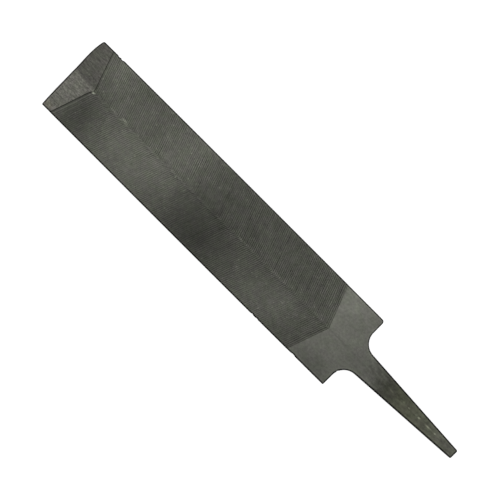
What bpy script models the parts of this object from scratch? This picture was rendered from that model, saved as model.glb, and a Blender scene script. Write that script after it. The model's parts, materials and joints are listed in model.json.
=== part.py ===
"""A rhombic-section hand file: one steel blank with a toothed blade and a tapered tang, without a handle.

Units are metres. +X runs along the length from the tip to the end of the tang, +Y is the left side and +Z is up
out of the upper faces. The origin is under the middle of the whole length, at the height of the lower ridge.
"""

import math

import bmesh
import bpy
from mathutils import Matrix

# Driving dimensions: lengths
BLADE_LENGTH = 0.150
TANG_LENGTH = 0.054

# Driving dimensions: the rolled bar's section
BLADE_WIDTH = 0.0336
BLADE_END_WIDTH = 0.0333
RIDGE_THICKNESS = 0.0050
EDGE_THICKNESS = 0.0006

# Driving dimensions: the tang, which sits a little to the right of the blade's centre line
TANG_ROOT_WIDTH = 0.0106
TANG_END_WIDTH = 0.0039
TANG_CENTRE_Y = -0.00044

# Driving dimensions: how far the tip end is out of square, its right corner standing back
TIP_SET_BACK = 0.0006

# Driving dimensions: corner radii in the plan, left and right
TIP_RADIUS_LEFT = 0.0009
TIP_RADIUS_RIGHT = 0.0004
SHOULDER_RADIUS_LEFT = 0.0015
SHOULDER_RADIUS_RIGHT = 0.0003
ROOT_FILLET_LEFT = 0.0053
ROOT_FILLET_RIGHT = 0.0050
TANG_END_RADIUS = 0.00055

# How finely round stretches are divided
DEGREES_PER_STEP = 9.0
BELLY_STEPS = 12

# Places along X that follow from the lengths
OVERALL_LENGTH = BLADE_LENGTH + TANG_LENGTH
TIP_X = -OVERALL_LENGTH / 2
SHOULDER_X = TIP_X + BLADE_LENGTH
TANG_END_X = OVERALL_LENGTH / 2
MIDDLE_HEIGHT = RIDGE_THICKNESS / 2

# How far a shape runs past the solid that it trims
OVERRUN = 0.002

STEEL_COLOUR = (0.115, 0.117, 0.102, 1.0)
STEEL_METALLIC = 0.9
STEEL_ROUGHNESS = 0.42

OBJECT_NAME = "flat_file"
BLANK_NAME = "file_blade_and_tang"


def clear_scene():
    """Removes every object, so that the file holds only what is built here."""
    for old in list(bpy.data.objects):
        bpy.data.objects.remove(old, do_unlink=True)


def new_collection(name):
    """Returns a new collection under the scene's own."""
    collection = bpy.data.collections.new(name)
    bpy.context.scene.collection.children.link(collection)
    return collection


def steel_material():
    """Returns the dark, dull steel of the whole blank."""
    material = bpy.data.materials.new("hardened_file_steel")
    material.use_nodes = True
    shader = material.node_tree.nodes["Principled BSDF"]
    shader.inputs["Base Color"].default_value = STEEL_COLOUR
    shader.inputs["Metallic"].default_value = STEEL_METALLIC
    shader.inputs["Roughness"].default_value = STEEL_ROUGHNESS
    return material


def rounded_outline(corners):
    """Returns the points of a closed outline whose corners, given as (x, y, radius), are replaced by arcs.

    Each arc touches the two straight sides that meet in its corner. A corner of radius 0 stays a point.
    """
    points = []
    for index, (x, y, radius) in enumerate(corners):
        if radius == 0:
            points.append((x, y))
            continue
        before = corners[index - 1]
        after = corners[(index + 1) % len(corners)]
        angle_in = math.atan2(y - before[1], x - before[0])
        angle_out = math.atan2(after[1] - y, after[0] - x)
        turn = math.remainder(angle_out - angle_in, math.tau)
        reach = radius * math.tan(abs(turn) / 2)
        side = math.copysign(1.0, turn)
        centre_x = x - reach * math.cos(angle_in) - side * radius * math.sin(angle_in)
        centre_y = y - reach * math.sin(angle_in) + side * radius * math.cos(angle_in)
        steps = max(2, round(math.degrees(abs(turn)) / DEGREES_PER_STEP))
        for step in range(steps + 1):
            heading = angle_in + turn * step / steps
            points.append((
                centre_x + side * radius * math.sin(heading),
                centre_y - side * radius * math.cos(heading),
            ))
    return points


def belly_points(side, start_x, end_x):
    """Returns the points of one long edge, which swells in a shallow parabola from its ends to its middle."""
    swell = (BLADE_WIDTH - BLADE_END_WIDTH) / 2
    points = []
    for step in range(1, BELLY_STEPS):
        along = step / BELLY_STEPS
        half_width = BLADE_END_WIDTH / 2 + swell * 4 * along * (1 - along)
        points.append((start_x + (end_x - start_x) * along, side * half_width, 0))
    return points


def plan_corners():
    """Returns the plan's corners as (x, y, radius), anticlockwise from the tip's right corner."""
    half_end = BLADE_END_WIDTH / 2
    half_root = TANG_ROOT_WIDTH / 2
    half_tang_end = TANG_END_WIDTH / 2
    return [
        (TIP_X + TIP_SET_BACK, -half_end, TIP_RADIUS_RIGHT),
        *belly_points(-1, TIP_X, SHOULDER_X),
        (SHOULDER_X, -half_end, SHOULDER_RADIUS_RIGHT),
        (SHOULDER_X, TANG_CENTRE_Y - half_root, ROOT_FILLET_RIGHT),
        (TANG_END_X, TANG_CENTRE_Y - half_tang_end, TANG_END_RADIUS),
        (TANG_END_X, TANG_CENTRE_Y + half_tang_end, TANG_END_RADIUS),
        (SHOULDER_X, TANG_CENTRE_Y + half_root, ROOT_FILLET_LEFT),
        (SHOULDER_X, half_end, SHOULDER_RADIUS_LEFT),
        *belly_points(1, SHOULDER_X, TIP_X),
        (TIP_X, half_end, TIP_RADIUS_LEFT),
    ]


def bar_section():
    """Returns the bar's section as (y, height above the middle), with a ridge above and below and two thin edges."""
    half_width = BLADE_WIDTH / 2
    slope = (RIDGE_THICKNESS - EDGE_THICKNESS) / BLADE_WIDTH
    reach = half_width + OVERRUN
    edge_height = MIDDLE_HEIGHT - slope * reach
    return [
        (0, MIDDLE_HEIGHT),
        (-reach, edge_height),
        (-reach, -edge_height),
        (0, -MIDDLE_HEIGHT),
        (reach, -edge_height),
        (reach, edge_height),
    ]


def plate_from_outline(name, points, thickness):
    """Returns a mesh object: the closed outline, filled and as thick as stated, lying half above the XY plane."""
    curve = bpy.data.curves.new(name + "_outline", "CURVE")
    curve.dimensions = "2D"
    curve.fill_mode = "BOTH"
    curve.extrude = thickness / 2
    spline = curve.splines.new("POLY")
    spline.points.add(len(points) - 1)
    for spline_point, (x, y) in zip(spline.points, points):
        spline_point.co = (x, y, 0, 1)
    spline.use_cyclic_u = True
    drawn = bpy.data.objects.new(name + "_outline", curve)
    bpy.context.scene.collection.objects.link(drawn)
    bpy.context.view_layer.update()
    depsgraph = bpy.context.evaluated_depsgraph_get()
    mesh = bpy.data.meshes.new_from_object(drawn.evaluated_get(depsgraph))
    plate = bpy.data.objects.new(name, mesh)
    plate.matrix_world = drawn.matrix_world
    bpy.data.objects.remove(drawn, do_unlink=True)
    weld(mesh)
    return plate


def weld(mesh):
    """Joins the caps of a filled curve to its sides and turns every face outwards."""
    work = bmesh.new()
    work.from_mesh(mesh)
    bmesh.ops.remove_doubles(work, verts=work.verts, dist=0.000001)
    bmesh.ops.recalc_face_normals(work, faces=work.faces)
    work.to_mesh(mesh)
    work.free()


def rhombic_bar(cutters):
    """Returns the rolled bar that the blank is sheared from, as a guide that only trims the blank."""
    bar = plate_from_outline("rolled_bar", bar_section(), OVERALL_LENGTH + 2 * OVERRUN)
    # The section was drawn as (y, z) in the XY plane, so X and Y turn into Y and Z, and its thickness into X.
    section_to_length = Matrix(((0, 0, 1), (1, 0, 0), (0, 1, 0))).to_4x4()
    bar.data.transform(section_to_length)
    bar.location = (0, 0, MIDDLE_HEIGHT)
    bar.hide_render = True
    bar.display_type = "WIRE"
    cutters.objects.link(bar)
    return bar


def file_blank(parts, cutters):
    """Builds the one piece of steel: the plan outline, upright at its sides, trimmed above and below by the bar."""
    blank = plate_from_outline(BLANK_NAME, rounded_outline(plan_corners()), RIDGE_THICKNESS + 2 * OVERRUN)
    blank.location = (0, 0, MIDDLE_HEIGHT)
    blank.data.materials.append(steel_material())
    parts.objects.link(blank)
    trim = blank.modifiers.new("trim_to_bar", "BOOLEAN")
    trim.operation = "INTERSECT"
    trim.solver = "EXACT"
    trim.object = rhombic_bar(cutters)
    return blank


def main():
    """Builds the file."""
    clear_scene()
    parts = new_collection(OBJECT_NAME)
    cutters = new_collection("cutters")
    file_blank(parts, cutters)


main()
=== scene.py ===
"""Looks of a rhombic-section hand file: one steel blank with rows of teeth, a plain tip, a plain heel and a tang."""

import json
import logging
import math
from dataclasses import dataclass, fields
from enum import Enum

import bpy
import numpy as np
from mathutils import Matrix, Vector


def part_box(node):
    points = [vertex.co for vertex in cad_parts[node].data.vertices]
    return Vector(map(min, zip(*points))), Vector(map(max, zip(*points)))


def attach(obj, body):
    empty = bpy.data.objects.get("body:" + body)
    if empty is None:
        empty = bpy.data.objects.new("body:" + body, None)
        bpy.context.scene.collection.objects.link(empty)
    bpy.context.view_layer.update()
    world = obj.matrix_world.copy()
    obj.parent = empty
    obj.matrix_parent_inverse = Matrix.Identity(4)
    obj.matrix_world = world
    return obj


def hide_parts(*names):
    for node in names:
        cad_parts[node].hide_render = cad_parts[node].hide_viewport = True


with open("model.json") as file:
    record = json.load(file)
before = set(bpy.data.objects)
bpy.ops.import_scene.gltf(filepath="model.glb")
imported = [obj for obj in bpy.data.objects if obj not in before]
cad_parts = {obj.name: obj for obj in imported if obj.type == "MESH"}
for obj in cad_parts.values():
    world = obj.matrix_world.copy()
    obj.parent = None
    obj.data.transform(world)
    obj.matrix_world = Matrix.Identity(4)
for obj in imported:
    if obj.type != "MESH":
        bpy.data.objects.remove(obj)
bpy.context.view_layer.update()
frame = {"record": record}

LOG = logging.getLogger("file")
MM = 0.001
FLOOR_GAP = 0.2 * MM
CAD_NODE = "file_blade_and_tang"

Colour = tuple[float, float, float, float]
Source = bpy.types.NodeSocket | float | tuple


def grey_green(red: int, green: int, blue: int) -> Colour:
    """Returns values from 0 to 255, as a display shows them, as a linear colour with full alpha.

    Each value is taken over 255 and raised to the display's power of 2.2.
    """
    return ((red / 255) ** 2.2, (green / 255) ** 2.2, (blue / 255) ** 2.2, 1.0)


def in_mm(kind: type, rows: tuple[tuple[float, float, float, float, float], ...]) -> tuple:
    """Returns patches or spots, one for each row.

    Args:
        kind: Patch or Spot.
        rows: For each, its middle along and across and its reaches in millimetres, then its strength.

    Returns:
        The patches or spots.
    """
    return tuple(kind(*(size * MM for size in row[:4]), row[4]) for row in rows)


def ease(value: np.ndarray) -> np.ndarray:
    """Returns 3v squared minus 2v cubed of the value held between 0 and 1: a step without corners."""
    held = np.clip(value, 0.0, 1.0)
    return held * held * (3.0 - 2.0 * held)


class Side(Enum):
    """The two sides of the blade's centre line, with the sign of Y there."""

    LEFT = 1
    RIGHT = -1


class Face(Enum):
    """The two broad faces of the blade, with the sign of the height above the middle plane."""

    UPPER = 1
    UNDER = -1


class Zone(Enum):
    """The finishes of the blank, in the order of its material slots."""

    GROUND = 0
    CUT = 1


# -----------------------------------------------------------------------------
# Sizes of the blank
# -----------------------------------------------------------------------------


@dataclass(frozen=True)
class Bar:
    """The rolled bar that the blank is sheared from: a rhombus with blunted side corners.

    Attributes:
        half_width: From the centre line to the edge.
        ridge_half: Half the thickness at the ridge.
        edge_half: Half the thickness at the edge.
    """

    half_width: float
    ridge_half: float
    edge_half: float

    def height(self, across: np.ndarray, softness: np.ndarray) -> np.ndarray:
        """Returns half the bar's thickness at a distance from the centre line.

        The height falls in a straight line from ridge to edge. The distance is replaced by the root of the sum of
        its square and the softness squared, which rounds the ridge and leaves the facets flat.

        Args:
            across: Distance from the centre line.
            softness: How wide the ridge is rounded.

        Returns:
            The height above the middle plane.
        """
        slope = (self.ridge_half - self.edge_half) / self.half_width
        return self.ridge_half - slope * np.sqrt(across**2 + softness**2)


@dataclass(frozen=True)
class SideSizes:
    """Sizes in which the two sides of the blank differ.

    Attributes:
        tip_x: The tip corner's place along the length.
        tip_bow: How far the tip end bows out between its middle and the corner.
        tip_radius: The tip corner's radius.
        shoulder_x: The shoulder's place along the length.
        shoulder_radius: The shoulder corner's radius.
        root_fillet: The radius between the shoulder and the tang.
        root_y: Where the tang's side would meet the shoulder, from the centre line.
        end_y: Where the tang's side meets its end, from the centre line.
        edge_roll: Radius of the blade's thin edge.
        end_roll: Radius of the tip end's and the shoulder's edges.
        tang_roll: How far the tang's edge is rolled over by the shears.
        tip_plain: The plain tip's length at the edge.
        heel_plain: The plain heel's length at the edge.
        groove: How deep the first gullet is, against the others.
        groove_rows: How wide it is, in rows.
        groove_dark: How dark its painted shadow is, from 0 to 1.
        first_shift: How far beyond the ridge's own first row this side's first row points.
        first_rows: How bright the first rows are, against the others.
    """

    tip_x: float
    tip_bow: float
    tip_radius: float
    shoulder_x: float
    shoulder_radius: float
    root_fillet: float
    root_y: float
    end_y: float
    edge_roll: float
    end_roll: float
    tang_roll: float
    tip_plain: float
    heel_plain: float
    groove: float
    groove_rows: float
    groove_dark: float
    first_shift: float
    first_rows: tuple[float, ...]


@dataclass(frozen=True)
class Nick:
    """A small dent in the outline.

    Attributes:
        side: The side it is on.
        x: Its place along the length.
        y: Its place from the centre line.
        reach: Its half length.
        depth: How far it goes in.
        inward: Which way it goes in, along the length and from the centre line.
    """

    side: Side
    x: float
    y: float
    reach: float
    depth: float
    inward: tuple[float, float] = (0.0, -1.0)


@dataclass(frozen=True)
class Patch:
    """A soft patch where the steel is lighter or darker.

    Attributes:
        x: Its middle along the length.
        y: Its middle across, positive to the left.
        reach_x: Its reach along the length.
        reach_y: Its reach across.
        strength: By what share it lightens, or darkens where negative.
    """

    x: float
    y: float
    reach_x: float
    reach_y: float
    strength: float

    def lift(self, x: np.ndarray, y: np.ndarray) -> np.ndarray:
        """Returns the patch's strength times a bell curve of the distance from its middle."""
        away_x = (x - self.x) / self.reach_x
        away_y = (y - self.y) / self.reach_y
        return self.strength * np.exp(-(away_x**2) - away_y**2)


@dataclass(frozen=True)
class Teeth:
    """The rows of a single cut, each a steep front towards the tip and a long back towards the tang.

    Attributes:
        rows: How many rows each facet has.
        depth: From a tooth's crest to its gullet.
        along: Places of the profile's points in one row, from 0 to 1 towards the tang.
        rise: Heights of those points, from 0 in the gullet to 1 on the crest.
        wander: How far rows stray from a straight line.
        stray: How far a row strays from its place, in rows.
        row_unevenness: By what share the depth varies from row to row.
        unevenness: By what share it varies within a row.
        patchiness: By what share it varies from one small patch to the next.
        proud: How far crests stand out of the edge's outline.
        lean: How far from square to the edge the rows run, in degrees.
        end_play: Clear room before the first and after the last row, in rows.
        shade_spread: By what share the brightness varies from row to row.
        ridge_low: Height in the profile at which gullets cross the ridge.
        ridge_gain: How much higher crests cross it.
        ridge_groove: That height for the first gullet, which runs through the ridge; below 0, it paints the gullet's
            shadow there.
        join_reach: How far from the ridge the two sides' rows bend to meet.
        straight_rim: How far from the edge the rows stop wandering.
        straight_start: How far beyond the first gullet they start to.
        shallow_rim: How far from the edge the rows get shallower.
        rim_share: The depth at the edge, against the usual.
        strip_low: Height in the profile of gullets just beside the ridge.
        strip_gain: How much higher crests are there.
        least: The least depth, against the usual.
        most: The greatest.
    """

    rows: int = 165
    depth: float = 0.20 * MM
    along: tuple[float, ...] = (0.0, 0.09, 0.22, 0.55, 0.86)
    rise: tuple[float, ...] = (0.0, 1.0, 0.86, 0.42, 0.06)
    wander: float = 0.09 * MM
    stray: float = 0.02
    row_unevenness: float = 0.05
    unevenness: float = 0.16
    patchiness: float = 0.08
    proud: float = 0.06 * MM
    lean: float = 18.0
    end_play: float = 0.05
    shade_spread: float = 0.015
    ridge_low: float = 0.25
    ridge_gain: float = 0.6
    ridge_groove: float = -0.6
    join_reach: float = 0.6 * MM
    straight_rim: float = 2.0 * MM
    straight_start: float = 3.0 * MM
    shallow_rim: float = 2.5 * MM
    rim_share: float = 0.5
    strip_low: float = 0.15
    strip_gain: float = 0.75
    least: float = 0.3
    most: float = 1.8


# -----------------------------------------------------------------------------
# Helpers for outlines and soft random fields
# -----------------------------------------------------------------------------


def corner_arc(
    before: np.ndarray, corner: np.ndarray, after: np.ndarray, radius: float, count: int
) -> np.ndarray:
    """Returns an arc that touches both straight lines which meet in a corner.

    The arc's ends lie back from the corner by the radius times the tangent of half the turn. Its points turn evenly
    about a centre square to the first line.

    Args:
        before: A point on the first line.
        corner: Where the lines meet.
        after: A point on the second line.
        radius: The arc's radius.
        count: How many points to return, both ends included.

    Returns:
        The points, as rows of x and y.
    """
    into = (corner - before) / np.linalg.norm(corner - before)
    out = (after - corner) / np.linalg.norm(after - corner)
    turn = math.atan2(into[0] * out[1] - into[1] * out[0], into @ out)
    square = math.copysign(1.0, turn) * np.array([-into[1], into[0]])
    centre = corner - into * radius * math.tan(abs(turn) / 2) + square * radius
    angle = np.linspace(0.0, abs(turn), count)[:, None]
    return centre + radius * (np.sin(angle) * into - np.cos(angle) * square)


def between(start: np.ndarray, end: np.ndarray, count: int) -> np.ndarray:
    """Returns evenly spaced points between two points, both left out."""
    share = np.linspace(0.0, 1.0, count + 2)[1:-1, None]
    return start + (end - start) * share


def soft_weights(count: int, knots: int) -> np.ndarray:
    """Returns the matrix that blends knot values into more values, each eased between its two nearest knots."""
    place = np.linspace(0.0, knots - 1.0, count)[:, None]
    return 1.0 - ease(np.abs(place - np.arange(knots)[None, :]))


def soft_field(rng: np.random.Generator, shape: tuple[int, int], knots: tuple[int, int]) -> np.ndarray:
    """Returns a smooth random field: normal values on a coarse grid, eased between its points.

    Args:
        rng: The source of the random values.
        shape: How many rows and columns the field has.
        knots: How many rows and columns the coarse grid has.

    Returns:
        The field, of about unit spread.
    """
    coarse = rng.standard_normal(knots)
    return soft_weights(shape[0], knots[0]) @ coarse @ soft_weights(shape[1], knots[1]).T


# -----------------------------------------------------------------------------
# The blank's surface
# -----------------------------------------------------------------------------


@dataclass
class CrossLines:
    """Lines that run from the ridge to one side's outline, one for each place along the blank.

    Attributes:
        ridge_x: Where each line starts on the ridge.
        inner_x: Where this side's own line would meet the ridge.
        outline: Where each line ends, as x and the distance from the centre line.
        rise: Height in the tooth's profile, from 0 to 1, and below 0 in the first gullet, where it paints a shadow.
        ridge_rise: That height on the ridge, which both sides share.
        bite: Depth of the cut there against the usual depth, 0 where no teeth are.
        shade: How bright the row is, about 1.
        roll: Radius that the outline's edge is rounded to.
        soft: How wide the ridge is rounded.
    """

    ridge_x: np.ndarray
    inner_x: np.ndarray
    outline: np.ndarray
    rise: np.ndarray
    ridge_rise: np.ndarray
    bite: np.ndarray
    shade: np.ndarray
    roll: np.ndarray
    soft: np.ndarray

    @staticmethod
    def plain(ridge_x: np.ndarray, outline: np.ndarray, roll: np.ndarray, soft: np.ndarray) -> "CrossLines":
        """Returns lines over plain steel, without teeth."""
        none = np.zeros(len(ridge_x))
        return CrossLines(ridge_x, ridge_x.copy(), outline, none, none, none, none + 1.0, roll, soft)

    @staticmethod
    def joined(parts: list["CrossLines"]) -> "CrossLines":
        """Returns the lines of several stretches, one after the other."""
        names = [item.name for item in fields(CrossLines)]
        return CrossLines(*(np.concatenate([getattr(part, name) for part in parts]) for name in names))


@dataclass(frozen=True)
class Blade:
    """The blade: a plain tip, a cut stretch and a plain heel, on the bar's full width.

    Attributes:
        bar: The bar's section.
        teeth: The rows of teeth.
        tip_x: The tip end's place on the centre line.
        shoulder_x: The shoulders' place.
        belly: How much wider each side is at its middle than at its ends.
        tip_plain: The plain tip's length on the ridge.
        heel_plain: The plain heel's length on the ridge.
        tip_roll: Radius of the tip end's edges at its middle.
        tip_starts: Where lines start on the ridge, from the tip end: at its middle and about its corner.
        heel_starts: Where they start, back from the shoulder: at the heel's start and about its corner.
        tip_soft: How wide the ridge is rounded on the plain tip.
        cut_soft: How wide it is rounded between the teeth.
    """

    bar: Bar
    teeth: Teeth
    tip_x: float
    shoulder_x: float
    belly: float = 0.09 * MM
    tip_plain: float = 10.6 * MM
    heel_plain: float = 13.0 * MM
    tip_roll: float = 0.30 * MM
    tip_starts: tuple[float, float, float] = (1.4 * MM, 7.4 * MM, 8.3 * MM)
    heel_starts: tuple[float, float] = (9.8 * MM, 9.0 * MM)
    tip_soft: float = 0.5 * MM
    cut_soft: float = 0.04 * MM

    def edge_y(self, x: np.ndarray) -> np.ndarray:
        """Returns the edge's distance from the centre line: a shallow parabola, widest at the blade's middle."""
        share = (x - self.tip_x) / (self.shoulder_x - self.tip_x)
        return self.bar.half_width - self.belly * (1.0 - 4.0 * share * (1.0 - share))

    def edge_between(self, start_x: float, end_x: float, count: int) -> np.ndarray:
        """Returns points of the edge between two places along it, both left out."""
        x = np.linspace(start_x, end_x, count + 2)[1:-1]
        return np.column_stack([x, self.edge_y(x)])

    def tip(self, sizes: SideSizes) -> CrossLines:
        """Returns the plain tip's lines, which fan from the ridge over the tip end, its corner and the edge.

        The end's bow follows 6.75 times the square of the share of the way out, times what is left of the way. It is
        0 at both ends and 1 at two thirds.

        Args:
            sizes: The side's own sizes.

        Returns:
            The lines up to the first row of teeth.
        """
        start = np.array([self.tip_x, 0.0])
        corner = np.array([sizes.tip_x, float(self.edge_y(np.array(sizes.tip_x)))])
        cut_x = sizes.tip_x + sizes.tip_plain
        cut = np.array([cut_x, float(self.edge_y(np.array(cut_x)))])
        arc = corner_arc(start, corner, cut, sizes.tip_radius, 7)
        end = np.vstack([start, between(start, arc[0], 24), arc[0]])
        out = end[:, 1] / arc[0][1]
        end[:, 0] -= sizes.tip_bow * 6.75 * out**2 * (1.0 - out)
        outline = np.vstack([end, arc[1:], self.edge_between(arc[-1][0], cut_x, 14), cut])

        # The tip end's middle, the two ends of its corner, and the first gullet
        marks = (0, 25, 31, len(outline) - 1)
        starts = self.tip_x + np.array([*self.tip_starts, self.tip_plain])
        place = np.arange(len(outline))
        ridge_x = np.interp(place, marks, starts)
        rolls = (self.tip_roll, sizes.end_roll, sizes.edge_roll, sizes.edge_roll)
        roll = np.interp(place, marks, rolls)
        lines = CrossLines.plain(ridge_x, outline, roll, np.full(len(outline), self.tip_soft))
        lines.inner_x += sizes.first_shift * (place / place[-1]) ** 3
        return lines

    def cut(self, sizes: SideSizes, rng: np.random.Generator) -> CrossLines:
        """Returns the cut stretch's lines, a few to each row of teeth.

        Every line lies at its row's number plus its place in the row. That number, over the count of rows, gives its
        share of the way from the first row to the last, on the ridge and on the edge alike.

        Args:
            sizes: The side's own sizes.
            rng: The source of the rows' small irregularities.

        Returns:
            The lines from the first gullet to the last.
        """
        teeth = self.teeth
        row = np.repeat(np.arange(teeth.rows), len(teeth.along))
        place = np.tile(np.array(teeth.along), teeth.rows)
        stray = rng.normal(0.0, teeth.stray, teeth.rows)
        stray[[0, -1]] = 0.0
        share = (row + place + stray[row] + teeth.end_play) / (teeth.rows + 2 * teeth.end_play)
        ridge_start = self.tip_x + self.tip_plain
        ridge_end = self.shoulder_x - self.heel_plain
        edge_start = sizes.tip_x + sizes.tip_plain
        edge_end = self.shoulder_x - sizes.heel_plain
        ridge_x = ridge_start + (ridge_end - ridge_start) * share
        rise = np.tile(np.array(teeth.rise), teeth.rows)
        bite = 1.0 + rng.normal(0.0, teeth.row_unevenness, teeth.rows)[row]
        first = (row + place) < sizes.groove_rows
        ridge_rise = teeth.ridge_low + teeth.ridge_gain * rise
        # Below 0, the first gullet's values paint its shadow, on the ridge and beside it
        ridge_rise[:2] = teeth.ridge_groove
        rise[first] = -sizes.groove_dark
        bite[first] = sizes.groove
        shade = 1.0 + rng.normal(0.0, teeth.shade_spread, teeth.rows)
        shade[:len(sizes.first_rows)] = sizes.first_rows
        edge_x = edge_start + (edge_end - edge_start) * share
        edge_y = self.edge_y(edge_x) + teeth.proud * np.maximum(rise, 0.0)
        return CrossLines(
            ridge_x=ridge_x,
            inner_x=ridge_x + sizes.first_shift * (1.0 - share),
            outline=np.column_stack([edge_x, edge_y]),
            rise=rise,
            ridge_rise=ridge_rise,
            bite=bite,
            shade=shade[row],
            roll=np.full(len(row), sizes.edge_roll),
            soft=np.full(len(row), self.cut_soft),
        )

    def heel(self, sizes: SideSizes) -> CrossLines:
        """Returns the plain heel's lines, from the last row of teeth to the shoulder corner's end.

        The ridge gets rounder from the teeth towards the tang, from 0.15 mm to 1.5 mm.
        """
        cut_x = self.shoulder_x - sizes.heel_plain
        cut = np.array([cut_x, float(self.edge_y(np.array(cut_x)))])
        corner = np.array([sizes.shoulder_x, float(self.edge_y(np.array(self.shoulder_x)))])
        inward = corner - np.array([0.0, self.bar.half_width / 2])
        arc = corner_arc(cut, corner, inward, sizes.shoulder_radius, 9)
        outline = np.vstack([cut, self.edge_between(cut_x, arc[0][0], 34), arc])
        marks = (0, 35, len(outline) - 1)
        starts = self.shoulder_x - np.array([self.heel_plain, *self.heel_starts])
        ridge_x = np.interp(np.arange(len(outline)), marks, starts)
        share = np.linspace(0.0, 1.0, len(outline))
        roll = np.interp(share, (0.0, 0.8, 1.0), (sizes.edge_roll, sizes.edge_roll, sizes.end_roll))
        soft = (0.15 + 1.35 * ease(share * 1.6)) * MM
        return CrossLines.plain(ridge_x, outline, roll, soft)


@dataclass(frozen=True)
class Tang:
    """The tapered tang, with its shoulders and the fillets that join it to them.

    Attributes:
        shoulder_x: The shoulders' place.
        end_x: The tang end's place.
        end_radius: The end corners' radius.
        end_roll: Radius of the end's edges.
    """

    shoulder_x: float
    end_x: float
    end_radius: float = 0.6 * MM
    end_roll: float = 0.35 * MM

    def lines(self, sizes: SideSizes, heel: CrossLines) -> CrossLines:
        """Returns the lines from the shoulder's flat to the middle of the tang's end.

        Args:
            sizes: The side's own sizes.
            heel: The heel's lines, which these follow.

        Returns:
            The lines, which end on the ridge.
        """
        start = heel.outline[-1]
        root = np.array([sizes.shoulder_x, sizes.root_y])
        corner = np.array([self.end_x, sizes.end_y])
        end = np.array([self.end_x, 0.0])
        fillet = corner_arc(start, root, corner, sizes.root_fillet, 33)
        end_arc = corner_arc(root, corner, end, self.end_radius, 7)
        shoulder = between(start, fillet[0], 10)
        taper = between(fillet[-1], end_arc[0], 58)
        outline = np.vstack([shoulder, fillet, taper, end_arc, between(end_arc[-1], end, 7), end])

        # The shoulder, the two ends of the fillet, the two ends of the end's corner, and the end's middle
        marks = (0, 10, 42, 101, 107, len(outline) - 1)
        starts = (
            heel.ridge_x[-1] + 0.3 * MM,
            self.shoulder_x - 6.5 * MM,
            self.shoulder_x + 5.4 * MM,
            self.end_x - 1.9 * MM,
            self.end_x - 1.6 * MM,
            self.end_x - 1.4 * MM,
        )
        ridge_x = np.interp(np.arange(len(outline)), marks, starts)
        share = ease((ridge_x - self.shoulder_x - 2.0 * MM) / (7.0 * MM))
        near_end = ease((ridge_x - self.end_x + 4.0 * MM) / (2.5 * MM))
        roll = heel.roll[-1] + (sizes.tang_roll - heel.roll[-1]) * share
        roll = roll + (self.end_roll - roll) * near_end
        soft = (1.5 - 1.3 * share) * MM
        return CrossLines.plain(ridge_x, outline, roll, soft)


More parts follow.
